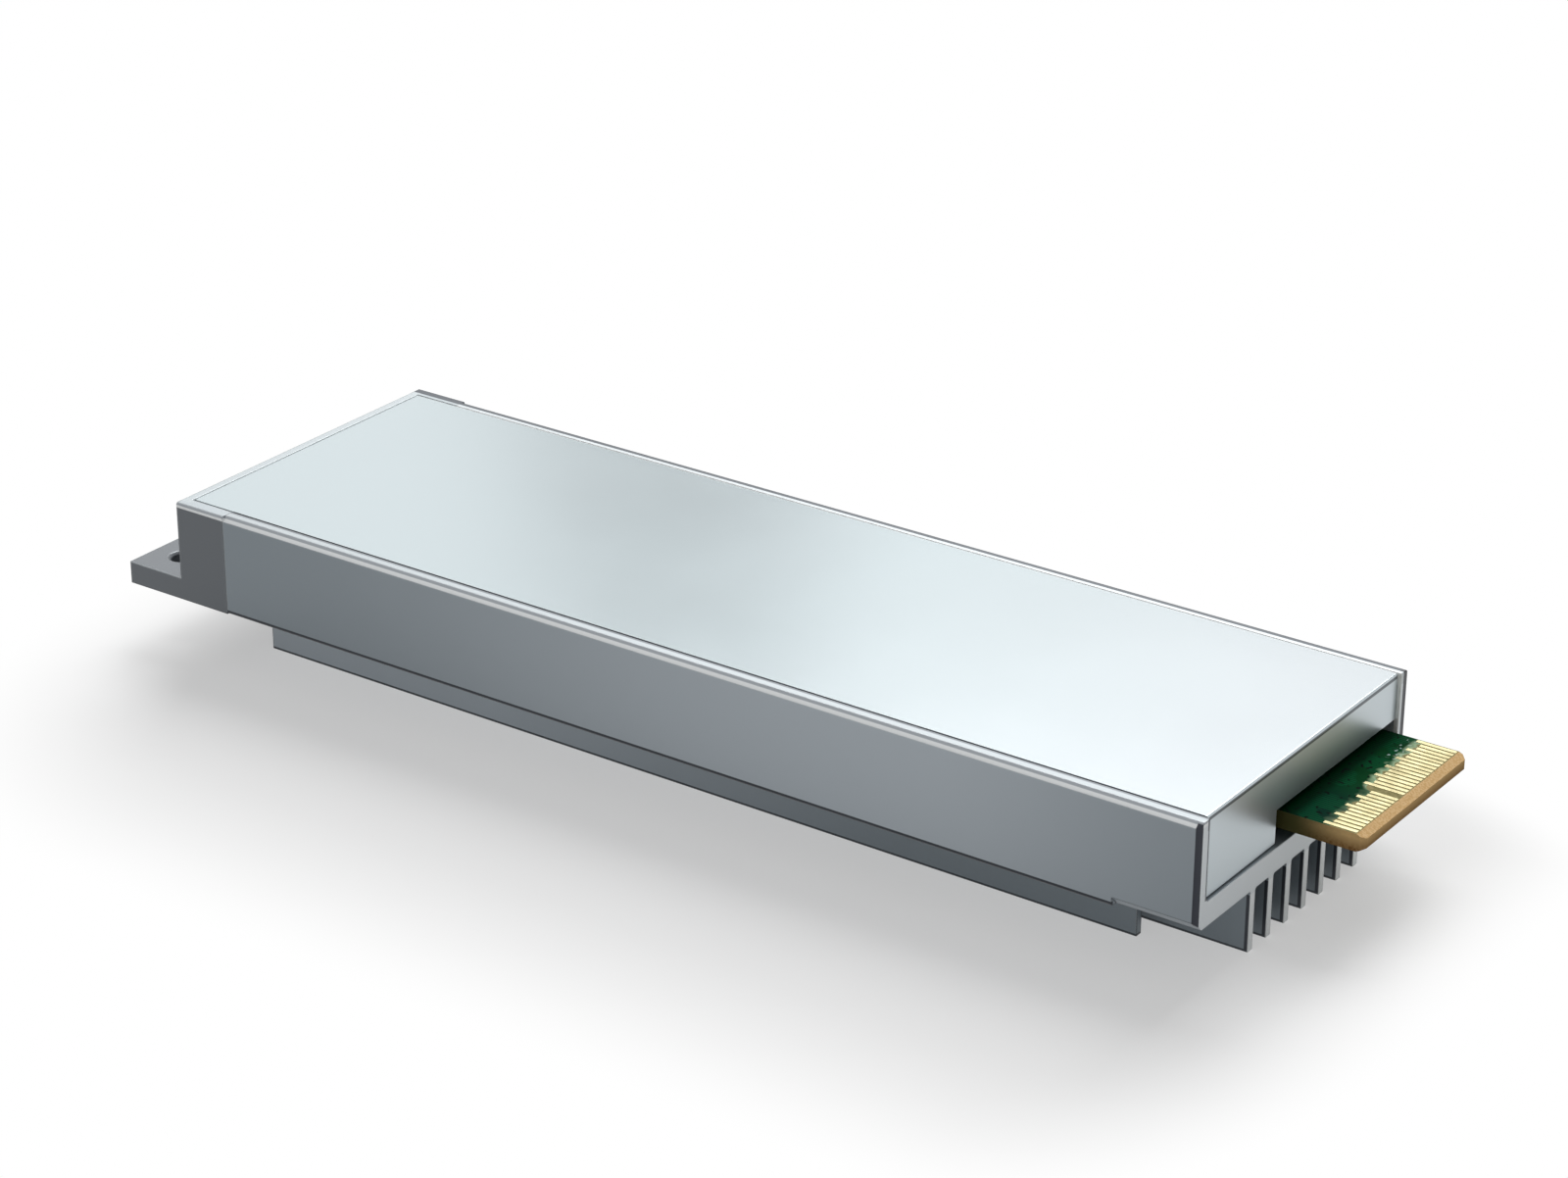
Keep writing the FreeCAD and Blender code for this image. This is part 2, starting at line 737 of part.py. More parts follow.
# Status lights
export("light_pipe", make_light_pipe())
for number, y in enumerate(light_ys(), start=1):
    export("status_led_%d" % number, make_led(y))
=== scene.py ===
import math

import bmesh
import bpy
from mathutils import Euler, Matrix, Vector


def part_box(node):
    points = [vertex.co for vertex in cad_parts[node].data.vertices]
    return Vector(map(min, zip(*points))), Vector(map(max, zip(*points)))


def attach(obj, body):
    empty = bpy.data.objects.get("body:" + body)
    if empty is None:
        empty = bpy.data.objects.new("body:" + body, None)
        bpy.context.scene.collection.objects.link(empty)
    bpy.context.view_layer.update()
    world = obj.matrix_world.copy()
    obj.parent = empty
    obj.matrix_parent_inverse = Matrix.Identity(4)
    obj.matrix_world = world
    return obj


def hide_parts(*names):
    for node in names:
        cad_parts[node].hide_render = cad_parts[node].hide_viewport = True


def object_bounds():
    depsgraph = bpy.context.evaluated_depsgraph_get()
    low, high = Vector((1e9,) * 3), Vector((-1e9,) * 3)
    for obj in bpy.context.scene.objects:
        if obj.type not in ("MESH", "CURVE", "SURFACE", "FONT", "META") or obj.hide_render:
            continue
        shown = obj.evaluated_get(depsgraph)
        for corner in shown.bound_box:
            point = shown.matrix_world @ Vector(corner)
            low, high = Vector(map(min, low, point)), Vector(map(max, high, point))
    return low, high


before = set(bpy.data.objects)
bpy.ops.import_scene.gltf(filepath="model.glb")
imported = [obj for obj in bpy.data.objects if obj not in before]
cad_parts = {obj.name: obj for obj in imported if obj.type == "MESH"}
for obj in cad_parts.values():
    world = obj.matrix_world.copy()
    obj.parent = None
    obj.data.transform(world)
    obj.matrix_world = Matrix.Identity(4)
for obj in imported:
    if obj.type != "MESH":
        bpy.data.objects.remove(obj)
cad_low, cad_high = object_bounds()

# The photographer's camera. It looks down on the near long side from the card-edge end, through a
# lens of about 93 mm, with no shift. The whole picture is 1600 x 1202 pixels.
camera_place = (0.18432, -0.25769, 0.15926)
camera_turn = (65.432, -0.144, 35.417)
camera_lens = 93.42
camera = bpy.data.objects.new("camera", bpy.data.cameras.new("camera"))
bpy.context.scene.collection.objects.link(camera)
camera.location = camera_place
camera.rotation_euler = Euler([math.radians(angle) for angle in camera_turn])
camera.data.lens = camera_lens
camera.data.sensor_width = 36.0
camera.data.clip_start = 0.01
bpy.context.scene.camera = camera
bpy.context.scene.view_settings.view_transform = "Standard"


# The studio: white surroundings for the camera and for mirrors, and a dimmer grey sky that lights
# the module from all round.
def wire(tree, source, target):
    tree.links.new(source, target)


def add_node(tree, kind, **settings):
    node = tree.nodes.new(kind)
    for name, value in settings.items():
        setattr(node, name, value)
    return node


def math_node(tree, operation, first, second=None, clamp=False):
    node = add_node(tree, "ShaderNodeMath", operation=operation, use_clamp=clamp)
    for place, value in zip(node.inputs, (first, second)):
        if isinstance(value, (int, float)):
            place.default_value = value
        elif value is not None:
            wire(tree, value, place)
    return node.outputs[0]


def seen_directly_or_mirrored(tree):
    """1 for rays from the camera, from a mirror or through glass, and 0 for the light itself."""
    path = add_node(tree, "ShaderNodeLightPath")
    mirrored = math_node(tree, "MAXIMUM", path.outputs["Is Glossy Ray"],
                         path.outputs["Is Transmission Ray"])
    return math_node(tree, "MAXIMUM", path.outputs["Is Camera Ray"], mirrored)


sky_strength = 0.29
pure_white = (1.0, 1.0, 1.0, 1.0)


def surroundings_strength(tree):
    """Full white where the surroundings are seen, and the dimmer sky where they only give light."""
    share = math_node(tree, "MULTIPLY", seen_directly_or_mirrored(tree), 1.0 - sky_strength)
    return math_node(tree, "ADD", share, sky_strength)


world = bpy.data.worlds.new("studio")
bpy.context.scene.world = world
world.use_nodes = True
sky = world.node_tree
sky_light = sky.nodes["Background"]
sky_light.inputs["Color"].default_value = pure_white
wire(sky, surroundings_strength(sky), sky_light.inputs["Strength"])


# The floor: a wide plain pale sheet, clear from below. Near the module it takes the soft shadow, and
# a few centimetres further out it has faded to the white of the surroundings. What it throws back on
# the module is a little paler than what the camera sees of it.
def vector_node(tree, operation, *values):
    """Output of a vector sum, with a socket or a plain vector for each of its inputs."""
    node = add_node(tree, "ShaderNodeVectorMath", operation=operation)
    for place, value in zip(node.inputs, values):
        if isinstance(value, tuple):
            place.default_value = value
        else:
            wire(tree, value, place)
    return node.outputs["Value" if operation in ("LENGTH", "DOT_PRODUCT") else "Vector"]


def ramp(tree, value, low, high, first=0.0, last=1.0, kind="LINEAR"):
    """Goes from the first level to the last while the value goes from low to high."""
    node = add_node(tree, "ShaderNodeMapRange", interpolation_type=kind)
    wire(tree, value, node.inputs["Value"])
    for label, level in (("From Min", low), ("From Max", high), ("To Min", first), ("To Max", last)):
        node.inputs[label].default_value = level
    return node.outputs["Result"]


floor_half = 3.0
floor_squares = 8
floor_own_light = 0.435
floor_tone = 0.68
floor_tone_seen = 0.46
# The fade runs between these two distances from the module. The distance is counted faster at the
# back and at the two ends than at the front, where the shadow reaches furthest.
shadow_reach_inner = 0.016
shadow_reach_outer = 0.037
fade_front_from = cad_low.y
fade_back_from = cad_high.y
fade_left_from = -0.033
fade_right_from = 0.0453
fade_front = 1.0
fade_back = 3.0
fade_left = 1.03
fade_right = 1.5
bpy.ops.mesh.primitive_grid_add(x_subdivisions=floor_squares, y_subdivisions=floor_squares,
                                size=2 * floor_half)
floor = bpy.context.object
floor.name = "studio_floor"
floor_paint = bpy.data.materials.new("studio_floor")
floor_paint.use_nodes = True
tree = floor_paint.node_tree
tree.nodes.clear()
output = add_node(tree, "ShaderNodeOutputMaterial")
place = add_node(tree, "ShaderNodeTexCoord")
back_and_right = vector_node(
    tree, "MULTIPLY_ADD", place.outputs["Object"], (fade_right, fade_back, 0.0),
    (-fade_right * fade_right_from, -fade_back * fade_back_from, 0.0))
front_and_left = vector_node(
    tree, "MULTIPLY_ADD", place.outputs["Object"], (-fade_left, -fade_front, 0.0),
    (fade_left * fade_left_from, fade_front * fade_front_from, 0.0))
beyond = vector_node(tree, "MAXIMUM", back_and_right, front_and_left)
outside = vector_node(tree, "MAXIMUM", beyond, (0.0, 0.0, 0.0))
fade = ramp(tree, vector_node(tree, "LENGTH", outside), shadow_reach_inner, shadow_reach_outer,
            kind="SMOOTHSTEP")
sheet = add_node(tree, "ShaderNodeBsdfDiffuse")
seen_part = math_node(tree, "MULTIPLY", seen_directly_or_mirrored(tree), floor_tone - floor_tone_seen)
wire(tree, math_node(tree, "SUBTRACT", floor_tone, seen_part), sheet.inputs["Color"])
own = add_node(tree, "ShaderNodeEmission")
own.inputs["Color"].default_value = pure_white
wire(tree, math_node(tree, "MULTIPLY", seen_directly_or_mirrored(tree), floor_own_light),
     own.inputs["Strength"])
lit_sheet = add_node(tree, "ShaderNodeAddShader")
wire(tree, sheet.outputs[0], lit_sheet.inputs[0])
wire(tree, own.outputs[0], lit_sheet.inputs[1])
white = add_node(tree, "ShaderNodeEmission")
white.inputs["Color"].default_value = pure_white
wire(tree, surroundings_strength(tree), white.inputs["Strength"])
blend = add_node(tree, "ShaderNodeMixShader")
wire(tree, fade, blend.inputs["Fac"])
wire(tree, lit_sheet.outputs[0], blend.inputs[1])
wire(tree, white.outputs[0], blend.inputs[2])
side = add_node(tree, "ShaderNodeNewGeometry")
clear = add_node(tree, "ShaderNodeBsdfTransparent")
one_sided = add_node(tree, "ShaderNodeMixShader")
wire(tree, side.outputs["Backfacing"], one_sided.inputs["Fac"])
wire(tree, blend.outputs[0], one_sided.inputs[1])
wire(tree, clear.outputs[0], one_sided.inputs[2])
wire(tree, one_sided.outputs[0], output.inputs["Surface"])
floor.data.materials.append(floor_paint)


# Three soft boxes, all behind the module. The large key box gives the light and the shadow that
# falls to the front. The two small ones only draw a sheen on the ends of the satin cover.
def soft_box(name, place, width, power):
    """A square lamp at a place, turned to the middle of the module."""
    lamp = bpy.data.lights.new(name, "AREA")
    lamp.shape = "SQUARE"
    lamp.size = width
    lamp.energy = power
    box = bpy.data.objects.new(name, lamp)
    bpy.context.scene.collection.objects.link(box)
    box.location = place
    aim = -Vector(place)
    box.rotation_euler = aim.to_track_quat("-Z", "Y").to_euler()


soft_box("key_box", place=(-0.15, 0.44, 0.62), width=0.50, power=4.7)
soft_box("right_sheen_box", place=(-0.31, 0.64, 0.37), width=0.22, power=0.14)
soft_box("left_sheen_box", place=(-0.56, 0.47, 0.33), width=0.24, power=0.17)


# Lower case: one aluminium piece with floor, side walls and fins, blasted to a fine even grain
# and clear anodised. Its long edges carry a painted highlight, its seams, corners and fin edges
# painted shade lines, and its end face and its sides past the middle are painted lighter.
def linear(red, green, blue):
    """Colour of a swatch, given as 0 to 255, as the shader needs it."""
    levels = []
    for level in (red, green, blue):
        level = level / 255.0
        levels.append(level / 12.92 if level <= 0.04045 else ((level + 0.055) / 1.055) ** 2.4)
    return (*levels, 1.0)


def new_group(name, inputs, outputs):
    group = bpy.data.node_groups.new(name, "ShaderNodeTree")
    for label, kind, value in inputs:
        made = group.interface.new_socket(label, in_out="INPUT", socket_type=kind)
        if value is not None:
            made.default_value = value
    for label, kind in outputs:
        group.interface.new_socket(label, in_out="OUTPUT", socket_type=kind)
    return group, add_node(group, "NodeGroupInput"), add_node(group, "NodeGroupOutput")


def blast_grain_group():
    """Fine even grain of blasted metal, with a slow cloudiness over it."""
    group, given, result = new_group(
        "blast_grain",
        [("Vector", "NodeSocketVector", None), ("Grain Size", "NodeSocketFloat", 0.00025),
         ("Cloud Size", "NodeSocketFloat", 0.018)],
        [("Grain", "NodeSocketFloat"), ("Cloud", "NodeSocketFloat")])
    for label, size, detail in (("Grain", "Grain Size", 2.0), ("Cloud", "Cloud Size", 3.0)):
        noise = add_node(group, "ShaderNodeTexNoise")
        noise.inputs["Detail"].default_value = detail
        wire(group, given.outputs["Vector"], noise.inputs["Vector"])
        wire(group, math_node(group, "DIVIDE", 1.0, given.outputs[size]), noise.inputs["Scale"])
        wire(group, noise.outputs["Fac"], result.inputs[label])
    return group


edge_radius = 0.00022
up_and_near = (0.0, -0.7, 0.7)


def edge_highlight_group():
    """Where an outer edge is, how far it looks up to the near side (the share of its painted
    highlight), and the normal that rounds it.
    """
    group, given, result = new_group(
        "edge_highlight",
        [("Gain", "NodeSocketFloat", 12.0)],
        [("Edge", "NodeSocketFloat"), ("Bright", "NodeSocketFloat"),
         ("Normal", "NodeSocketVector")])
    round_edge = add_node(group, "ShaderNodeBevel", samples=6)
    round_edge.inputs["Radius"].default_value = edge_radius
    rounded = round_edge.outputs["Normal"]
    surface = add_node(group, "ShaderNodeNewGeometry")
    apart = vector_node(group, "DOT_PRODUCT", rounded, surface.outputs["True Normal"])
    bent = math_node(group, "SUBTRACT", 1.0, apart)
    wire(group, math_node(group, "MULTIPLY", bent, given.outputs["Gain"], clamp=True),
         result.inputs["Edge"])
    upward = vector_node(group, "DOT_PRODUCT", rounded, up_and_near)
    wire(group, ramp(group, upward, 0.55, 0.75, kind="SMOOTHSTEP"), result.inputs["Bright"])
    wire(group, rounded, result.inputs["Normal"])
    return group


blast_grain = blast_grain_group()
edge_highlight = edge_highlight_group()


def place_group(tree, group, **values):
    """The group as a node, its inputs set by name, with an underscore for each space."""
    node = add_node(tree, "ShaderNodeGroup", node_tree=group)
    for label, value in values.items():
        node.inputs[label.replace("_", " ")].default_value = value
    return node


def blend_colour(tree, share, first, second):
    """The first colour where the share is 0 and the second where it is 1."""
    node = add_node(tree, "ShaderNodeMix", data_type="RGBA")
    wire(tree, share, node.inputs["Factor"])
    for label, value in (("A", first), ("B", second)):
        place = [entry for entry in node.inputs if entry.name == label and entry.type == "RGBA"][0]
        if isinstance(value, tuple):
            place.default_value = value
        else:
            wire(tree, value, place)
    return [entry for entry in node.outputs if entry.type == "RGBA"][0]


def level_range(tree, value, low, high):
    """Turns a value between 0 and 1 into one between two levels."""
    return ramp(tree, value, 0.0, 1.0, low, high)


def new_finish(name, metallic):
    finish = bpy.data.materials.new(name)
    finish.use_nodes = True
    shader = finish.node_tree.nodes["Principled BSDF"]
    shader.inputs["Metallic"].default_value = metallic
    return finish, finish.node_tree, shader


def coordinate(tree, axis):
    place = add_node(tree, "ShaderNodeTexCoord")
    split = add_node(tree, "ShaderNodeSeparateXYZ")
    wire(tree, place.outputs["Object"], split.inputs[0])
    return split.outputs[axis]


step_softness = 0.00004
line_softness = 0.00003


def past(tree, value, limit, softness=step_softness):
    """0 below the limit and 1 above it, with a soft step between."""
    return ramp(tree, value, limit - softness, limit + softness)


def between(tree, value, low, high, softness=step_softness):
    """1 between two limits and 0 outside them."""
    return math_node(tree, "MULTIPLY", past(tree, value, low, softness),
                     math_node(tree, "SUBTRACT", 1.0, past(tree, value, high, softness)))


def zone(tree, limits):
    """1 where the surface lies between the limits given for each axis, and 0 elsewhere."""
    share = None
    for axis, (low, high) in limits.items():
        inside = between(tree, coordinate(tree, axis), low, high, line_softness)
        share = inside if share is None else math_node(tree, "MULTIPLY", share, inside)
    return share


beyond_all = 1.0


def above(limit):
    return (limit, beyond_all)


def below(limit):
    return (-beyond_all, limit)


tray_low, tray_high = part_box("heatsink_tray")
cover_low, cover_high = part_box("top_cover")
land_level = tray_high.z - 0.00008
land_end = tray_high.x - 0.00005
flange_face = cover_high.x - 0.00010
wall_bevel = 0.00045
fin_root = 0.0055


def painted_sheen_share(tree):
    """Share of the painted sheen, a painted reflection along the case: on the body 0 at the tab end,
    1 past the middle, less at the card edge; on the fins 1 to 0.
    """
    along = coordinate(tree, "X")
    rise = ramp(tree, along, tray_low.x - 0.004, tray_high.x - 0.028, kind="SMOOTHSTEP")
    ease = ramp(tree, along, tray_high.x - 0.026, tray_high.x + 0.004, 1.0, 0.25, "SMOOTHSTEP")
    on_body = math_node(tree, "MULTIPLY", rise, ease)
    on_fins = math_node(tree, "SUBTRACT", 1.0, past(tree, along, 0.0, softness=0.022))
    body = past(tree, coordinate(tree, "Z"), fin_root, softness=0.0002)
    return math_node(tree, "ADD", math_node(tree, "MULTIPLY", body, on_body),
                     math_node(tree, "MULTIPLY", math_node(tree, "SUBTRACT", 1.0, body), on_fins))


cloud_roughness = 0.03
grain_rise = 0.00004
end_middle = cover_high.x / 2
end_spread = cover_high.x * 0.4


def blasted_aluminium(name, dark, light, land, painted_edge_light, painted_edge_shade, rough, grain_depth, metallic,
                      lines, sheen=None, end_tone=None, end_dulled=None, round_edges=True):
    """Blasted and anodised aluminium: cloudy between two near tones, with milled lands of their own
    tone. Its outer edges get a painted highlight where they face up to the near side and a painted
    shade line elsewhere, and the lines paint set places, most of them with painted highlights and
    shade. A painted sheen can lighten it along its length. The land can turn to an end tone toward
    the card edge, and the end face can be duller than the rest."""
    finish, tree, shader = new_finish(name, metallic)
    place = add_node(tree, "ShaderNodeTexCoord")
    grain = place_group(tree, blast_grain)
    wire(tree, place.outputs["Object"], grain.inputs["Vector"])
    edge_node = place_group(tree, edge_highlight)
    cloudy = blend_colour(tree, grain.outputs["Cloud"], dark, light)
    if sheen:
        cloudy = blend_colour(tree, painted_sheen_share(tree), cloudy, sheen)
    if end_tone:
        toward_end = past(tree, coordinate(tree, "X"), end_middle, end_spread)
        land = blend_colour(tree, toward_end, land, end_tone)
    milled = math_node(tree, "MAXIMUM", past(tree, coordinate(tree, "Z"), land_level),
                       past(tree, coordinate(tree, "X"), land_end))
    cloudy = blend_colour(tree, milled, cloudy, land)
    edge = blend_colour(tree, edge_node.outputs["Bright"], painted_edge_shade, painted_edge_light)
    toned = blend_colour(tree, edge_node.outputs["Edge"], cloudy, edge)
    for limits, colour in lines:
        toned = blend_colour(tree, zone(tree, limits), toned, colour)
    wire(tree, toned, shader.inputs["Base Color"])
    roughness = level_range(tree, grain.outputs["Cloud"], rough - cloud_roughness,
                            rough + cloud_roughness)
    if end_dulled:
        on_end = past(tree, coordinate(tree, "X"), flange_face)
        roughness = math_node(tree, "ADD", roughness,
                              math_node(tree, "MULTIPLY", on_end, end_dulled))
    wire(tree, roughness, shader.inputs["Roughness"])
    bump = add_node(tree, "ShaderNodeBump")
    bump.inputs["Strength"].default_value = grain_depth
    bump.inputs["Distance"].default_value = grain_rise
    wire(tree, grain.outputs["Grain"], bump.inputs["Height"])
    if round_edges:
        wire(tree, edge_node.outputs["Normal"], bump.inputs["Normal"])
    wire(tree, bump.outputs["Normal"], shader.inputs["Normal"])
    return finish


def give_finish(node, finish):
    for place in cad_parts[node].material_slots:
        place.material = finish


# Each line is a place on the piece, given as limits on its axes, and a colour. Most lines are
# painted light: painted highlights, painted shade lines, and faces painted lighter.
near_half = below(0.0)
upper_rim = above(tray_high.z - 0.00100)
outline_width = 0.00046
silhouette_from = tray_high.y - wall_bevel - outline_width
# Painted highlight on the near wall's top bevel, and a painted shade line at the bevel's upper edge.
near_rim_highlight_and_shade = [
    ({"Z": (tray_high.z - 0.00046, tray_high.z - 0.00019), "Y": near_half}, linear(246, 249, 250)),
    ({"Z": (tray_high.z - 0.00020, tray_high.z - 0.00002), "Y": near_half}, linear(178, 184, 190)),
]
# A painted shade line along the top of the far rim.
far_rim_painted_shade = ({"Z": above(tray_high.z - 0.00050), "Y": above(silhouette_from)}, linear(66, 72, 80))
far_gap_from = cover_high.y - 0.00010
far_gap = (far_gap_from, cover_high.y + 0.00012)
near_gap = (cover_low.y - 0.00042, cover_low.y - 0.00020)
end_line_from = tray_high.x - 0.00036
# Painted shade lines on the two upright corners at the card end and along the foot of the near wall.
near_corner_painted_shade = {"X": above(tray_high.x - 0.00048), "Y": below(tray_low.y + 0.00032)}
far_corner_painted_shade = {"X": above(end_line_from), "Y": above(tray_high.y - 0.00090)}
wall_foot_painted_shade = {"Z": (fin_root - 0.0002, fin_root + 0.00040), "Y": below(tray_low.y + 0.00024)}
fin_tip_height = 0.0002
# The first tray line paints the whole end face lighter: painted light.
tray_lines = [({"X": above(land_end)}, linear(228, 234, 237))] + near_rim_highlight_and_shade + [
    far_rim_painted_shade,
    # Painted shade in the seam along the near wall, and the far wall's strip with painted light in
    # its gap.
    ({"Z": upper_rim, "Y": (cover_low.y - 0.00050, 0.0)}, linear(118, 124, 130)),
    ({"Z": upper_rim, "Y": (far_gap_from, silhouette_from)}, linear(202, 209, 212)),
    ({"Z": upper_rim, "Y": far_gap}, linear(252, 254, 255)),
    # Painted shade lines on the edges of the fins' ends and tips and on the two corners of the walls.
    ({"X": above(end_line_from), "Z": below(fin_root - 0.0004)}, linear(58, 62, 70)),
    ({"Z": below(fin_tip_height), "X": below(land_end)}, linear(66, 72, 78)),
    (near_corner_painted_shade, linear(46, 50, 60)),
    (far_corner_painted_shade, linear(44, 48, 54)),
    # The fins' end faces painted bright, painted light in the far gap and painted shade in the near
    # gap beside the turned-down end, and painted shade at the foot of the near wall.
    ({"X": above(land_end), "Z": below(fin_root - 0.0003)}, linear(242, 246, 247)),
    ({"X": above(flange_face), "Y": far_gap, "Z": above(cover_low.z)}, linear(250, 252, 252)),
    ({"X": above(land_end), "Y": near_gap, "Z": above(cover_low.z)}, linear(92, 98, 104)),
    (wall_foot_painted_shade, linear(46, 51, 58)),
]
# Its sheen colour is the painted sheen, and its end tone is painted shade that darkens the rim's land
# toward the card edge.
tray_metal = blasted_aluminium(
    "tray_metal", dark=linear(138, 148, 155), light=linear(148, 158, 165),
    land=linear(182, 190, 193), painted_edge_light=linear(222, 228, 231), painted_edge_shade=linear(92, 98, 102),
    rough=0.40, grain_depth=0.08, metallic=0.30, lines=tray_lines,
    sheen=linear(190, 199, 206), end_tone=linear(169, 177, 180))
give_finish("heatsink_tray", tray_metal)

# Cover: aluminium plate let in between the walls, with its end turned down round the card edge. It
# is pressed from smoother sheet, so it mirrors its surroundings softly.
cover_rim = above(cover_high.z - 0.0010)
flange_bend = (cover_high.z - 0.00042, cover_high.z - 0.00014)
rim_strip = 0.00004
cover_lines = [
    # The turned-down end painted lighter, painted shade lines on the near edge and the bend, and
    # painted light on the far and tab-end edges.
    ({"X": above(flange_face)}, linear(197, 206, 210)),
    ({"Y": (cover_low.y - 0.0001, cover_low.y + rim_strip), "Z": cover_rim, "X": above(tray_low.x)},
     linear(112, 118, 122)),
    ({"X": above(cover_high.x - 0.00014), "Z": flange_bend}, linear(100, 106, 110)),
    ({"Y": above(cover_high.y - rim_strip), "Z": cover_rim}, linear(252, 254, 255)),
    ({"X": below(cover_low.x + rim_strip), "Z": cover_rim}, linear(176, 186, 190)),
]
cover_metal = blasted_aluminium(
    "cover_metal", dark=linear(157, 167, 170), light=linear(161, 171, 174),
    land=linear(159, 169, 172), painted_edge_light=linear(167, 176, 179), painted_edge_shade=linear(157, 167, 170),
    rough=0.23, grain_depth=0.02, metallic=0.80, lines=cover_lines,
    end_tone=linear(160, 165, 168), end_dulled=0.12, round_edges=False)
give_finish("top_cover", cover_metal)

# End bracket: separate aluminium end block with the mounting tab, in a darker finish than the
# tray, which also paints in the shade on the tab's top. Its top is milled in one pass with the walls.
end_seam_from = cover_low.x - 0.00010
end_seam_to = cover_low.x + 0.0001
bracket_lines = near_rim_highlight_and_shade + [
    # The milled end land, painted light over the seam beside the cover, and the near wall's inner
    # side painted light.
    ({"X": below(end_seam_to), "Z": above(tray_high.z - 0.0003),
      "Y": (tray_low.y + 0.0007, tray_high.y - 0.0002)}, linear(186, 194, 197)),
    ({"X": (end_seam_from, end_seam_to), "Z": upper_rim, "Y": (cover_low.y, cover_high.y)},
     linear(212, 220, 223)),
    ({"Y": (cover_low.y - 0.00036, 0.0), "Z": (tray_high.z - 0.0021, tray_high.z - 0.00002),
      "X": above(end_seam_from)}, linear(226, 232, 235)),
    far_rim_painted_shade,
]
bracket_metal = blasted_aluminium(
    "bracket_metal", dark=linear(103, 108, 113), light=linear(111, 116, 121),
    land=linear(180, 189, 193), painted_edge_light=linear(206, 213, 216), painted_edge_shade=linear(84, 88, 92),
    rough=0.42, grain_depth=0.08, metallic=0.30, lines=bracket_lines)
give_finish("end_bracket", bracket_metal)


# Circuit board: glass-fibre laminate under green solder mask, milled to shape, so its edges and its
# bevelled tip are bare and tan. Thin copper traces and a few plated holes show through the mask.
def spots(tree, size, low, high, detail=0.0):
    """Blotches of a given size: 0 and 1 with a soft rim, from a noise cut between two levels."""
    place = add_node(tree, "ShaderNodeTexCoord")
    noise = add_node(tree, "ShaderNodeTexNoise")
    noise.inputs["Scale"].default_value = 1.0 / size
    noise.inputs["Detail"].default_value = detail
    wire(tree, place.outputs["Object"], noise.inputs["Vector"])
    return ramp(tree, noise.outputs["Fac"], low, high)


board_low, board_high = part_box("circuit_board")
contact_low, contact_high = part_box("contact_fingers_top")
contact_pitch = 0.0006
trace_width = 0.00016
first_length = 0.0024
second_length = 0.0030
first_group = 12
second_group = 16
group_gap = 0.0006
bevel_start = contact_high.x + 0.00005
board_finish, tree, shader = new_finish("board_laminate", 0.0)
along = coordinate(tree, "X")
across = coordinate(tree, "Y")

# The mask: green, bluer at the near side, with painted shade in the slot, and with traces, holes
# and tinned dots.
from_first = math_node(tree, "SUBTRACT", across, contact_low.y)
in_pitch = math_node(tree, "PINGPONG", from_first, contact_pitch / 2)
trace_line = between(tree, in_pitch, contact_pitch / 4 - trace_width / 2,
                     contact_pitch / 4 + trace_width / 2, line_softness)
trace = math_node(tree, "MULTIPLY", trace_line, spots(tree, 0.0018, 0.42, 0.50))
out_of_slot_shade = ramp(tree, along, tray_high.x + 0.0004, contact_low.x - 0.0012, kind="SMOOTHSTEP")
mask_colour = blend_colour(tree, spots(tree, 0.0030, 0.30, 0.75, 2.0), linear(1, 52, 22),
                           linear(1, 68, 32))
blue_side = between(tree, across, board_low.y, contact_low.y + 0.0060, softness=0.0022)
mask_colour = blend_colour(tree, blue_side, mask_colour, linear(4, 46, 34))
mask_colour = blend_colour(tree, trace, mask_colour, linear(6, 78, 46))
mask_colour = blend_colour(tree, out_of_slot_shade, linear(0, 34, 15), mask_colour)
hole = spots(tree, 0.00042, 0.70, 0.73)
mask_colour = blend_colour(tree, hole, mask_colour, linear(6, 16, 12))
tin_zone = math_node(tree, "MULTIPLY",
                     between(tree, along, contact_low.x - 0.0008, contact_low.x + 0.0007),
                     between(tree, across, contact_high.y - 0.0042, contact_high.y - 0.0002))
tin = math_node(tree, "MULTIPLY", tin_zone, spots(tree, 0.00030, 0.56, 0.62))
mask_colour = blend_colour(tree, tin, mask_colour, linear(150, 172, 166))

# The mask's outer edge: ragged, at the depth of each group of contacts, with a pale band on it.
# Beyond it the laminate is bare.
mask_edge_softness = 0.00012
ragged_depth = 0.00045
pale_band_strength = 0.6
first_group_pale_band = 0.35
ragged = math_node(tree, "MULTIPLY", spots(tree, 0.0007, 0.3, 0.7), ragged_depth)
group_split = contact_low.y + first_group * contact_pitch
in_second = past(tree, across, group_split, softness=0.0003)
reach = math_node(tree, "MULTIPLY", in_second, second_length - first_length)
from_tip = math_node(tree, "SUBTRACT", contact_high.x, along)
inward = math_node(tree, "SUBTRACT", math_node(tree, "SUBTRACT", from_tip, ragged), reach)
masked = past(tree, inward, first_length - mask_edge_softness, mask_edge_softness)
bare = math_node(tree, "SUBTRACT", 1.0, masked)
pale_band = math_node(tree, "MULTIPLY", math_node(tree, "ADD", in_second, first_group_pale_band),
                 between(tree, inward, first_length - 0.0004, first_length + 0.0003, softness=0.0003))
mask_colour = blend_colour(tree, math_node(tree, "MULTIPLY", pale_band, pale_band_strength), mask_colour,
                           linear(176, 204, 164))
laminate = blend_colour(tree, spots(tree, 0.00025, 0.35, 0.65), linear(140, 134, 92),
                        linear(164, 154, 112))
face = blend_colour(tree, bare, mask_colour, laminate)

